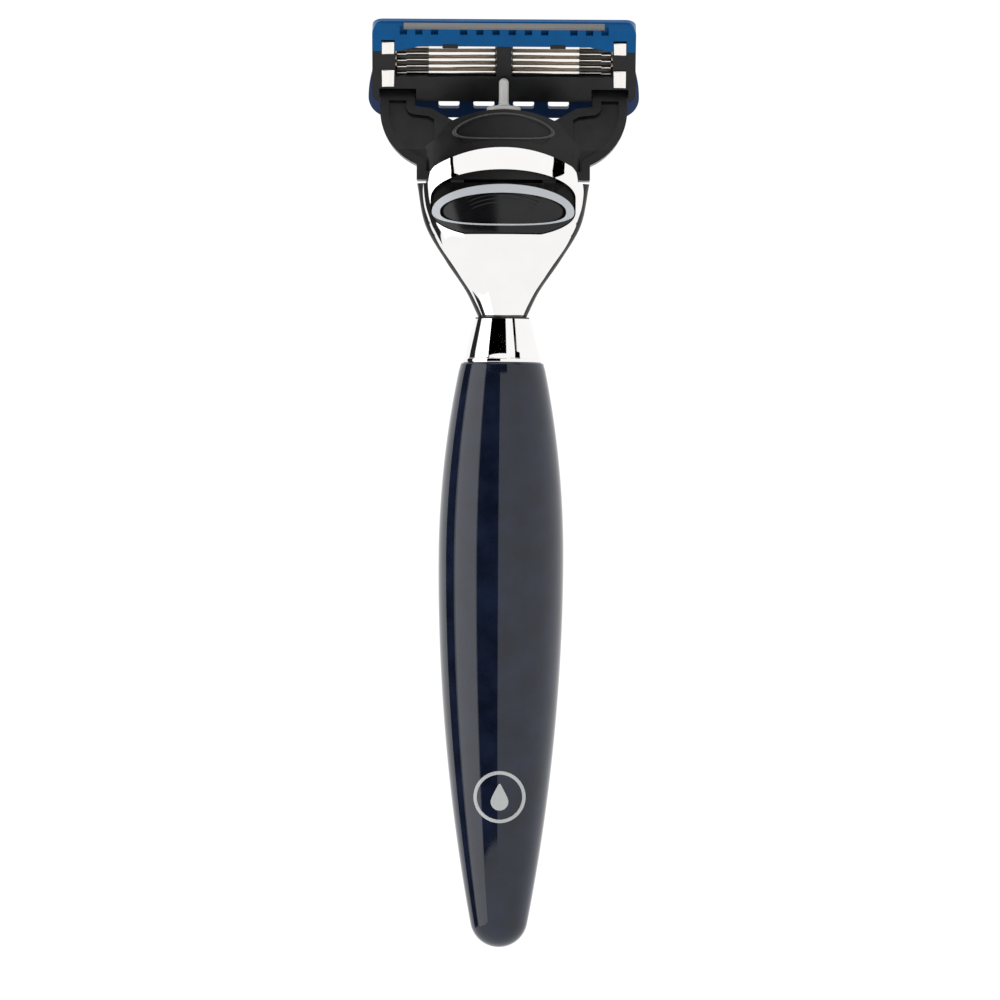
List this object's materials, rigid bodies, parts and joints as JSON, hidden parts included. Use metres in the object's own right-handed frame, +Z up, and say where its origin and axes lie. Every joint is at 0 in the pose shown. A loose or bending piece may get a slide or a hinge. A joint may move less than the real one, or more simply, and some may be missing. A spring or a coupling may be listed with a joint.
{
  "type": "cartridge razor",
  "caption": "Wet shaving razor with a turned resin handle, chromed head, eject button and a sprung pivoting multi-blade cartridge",
  "frame": {"origin": "centre of the neck, where the head seats on the ferrule and a stand's fork holds the razor", "axes": "+Z up the handle towards the cartridge, -Y the back of the razor, +Y the shaving side, X along the blades"},
  "size_m": [0.0414, 0.019, 0.1415],
  "materials": {
    "resin": "polished dark navy cast resin with a fine shimmer",
    "brass": "machined brass",
    "steel": "turned steel",
    "chrome": "bright chrome plate",
    "black_plastic": "satin moulded black plastic",
    "gloss_black": "glossy moulded black plastic",
    "spring_steel": "drawn spring wire",
    "grey_plastic": "light grey moulded plastic",
    "navy_plastic": "dark blue moulded plastic",
    "blue_rubber": "soft blue elastomer",
    "blue_plastic": "satin blue moulded plastic",
    "blade_steel": "polished blade steel",
    "gel": "pale water-soluble gel strip",
    "aluminium": "bright folded aluminium strip"
  },
  "bodies": {
    "handle": {"handle_grip": "resin", "grip_insert": "brass", "threaded_stud": "steel", "ferrule": "chrome", "neck_washer": "black_plastic", "head_core": "black_plastic", "head_shell_rear": "chrome", "head_shell_front": "chrome", "button_spring": "spring_steel", "plunger_spring": "spring_steel"},
    "button": {"ejector_button": "gloss_black", "ejector_slider": "black_plastic"},
    "plunger": {"plunger": "grey_plastic"},
    "yoke": {"yoke": "black_plastic"},
    "cartridge": {"housing": "black_plastic", "guard": "navy_plastic", "guard_fins": "blue_rubber", "rear_cap": "blue_plastic", "trimmer_blade": "blade_steel", "lubricating_strip": "gel", "clip_left": "aluminium", "clip_right": "aluminium"},
    "blade_1": {"blade_1": "blade_steel", "blade_support_1": "blade_steel"},
    "blade_2": {"blade_2": "blade_steel", "blade_support_2": "blade_steel"},
    "blade_3": {"blade_3": "blade_steel", "blade_support_3": "blade_steel"},
    "blade_4": {"blade_4": "blade_steel", "blade_support_4": "blade_steel"},
    "blade_5": {"blade_5": "blade_steel", "blade_support_5": "blade_steel"}
  },
  "joints": [
    {"name": "button_slide", "type": "slide", "parent": "handle", "child": "button", "axis": [0, 0, 1], "range_m": [0, 0.0021], "stiffness_N_per_m": 400, "springref_m": -0.001, "deforming": ["button_spring"]},
    {"name": "release_slide", "type": "slide", "parent": "handle", "child": "yoke", "axis": [0, 0, 1], "range_m": [0, 0.0021]},
    {"name": "cartridge_pivot", "type": "hinge", "parent": "yoke", "child": "cartridge", "pos_m": [0, 0.00374, 0.03421], "axis": [1, 0, 0], "range_deg": [0, 40], "stiffness_Nm_per_rad": 0.003, "springref_deg": -45.84},
    {"name": "plunger_slide", "type": "slide", "parent": "handle", "child": "plunger", "axis": [0, 0, -1], "range_m": [0, 0.0033], "deforming": ["plunger_spring"]},
    {"name": "blade_1_slide", "type": "slide", "parent": "cartridge", "child": "blade_1", "axis": [0, -0.8829, -0.4695], "range_m": [0, 0.00015], "stiffness_N_per_m": 400, "springref_m": -0.0003},
    {"name": "blade_2_slide", "type": "slide", "parent": "cartridge", "child": "blade_2", "axis": [0, -0.8829, -0.4695], "range_m": [0, 0.00015], "stiffness_N_per_m": 400, "springref_m": -0.0003},
    {"name": "blade_3_slide", "type": "slide", "parent": "cartridge", "child": "blade_3", "axis": [0, -0.8829, -0.4695], "range_m": [0, 0.00015], "stiffness_N_per_m": 400, "springref_m": -0.0003},
    {"name": "blade_4_slide", "type": "slide", "parent": "cartridge", "child": "blade_4", "axis": [0, -0.8829, -0.4695], "range_m": [0, 0.00015], "stiffness_N_per_m": 400, "springref_m": -0.0003},
    {"name": "blade_5_slide", "type": "slide", "parent": "cartridge", "child": "blade_5", "axis": [0, -0.8829, -0.4695], "range_m": [0, 0.00015], "stiffness_N_per_m": 400, "springref_m": -0.0003}
  ],
  "couplings": [
    {"joint": "release_slide", "follows": "button_slide", "ratio": 1},
    {"joint": "plunger_slide", "follows": "cartridge_pivot", "m_per_rad": 0.004727}
  ]
}
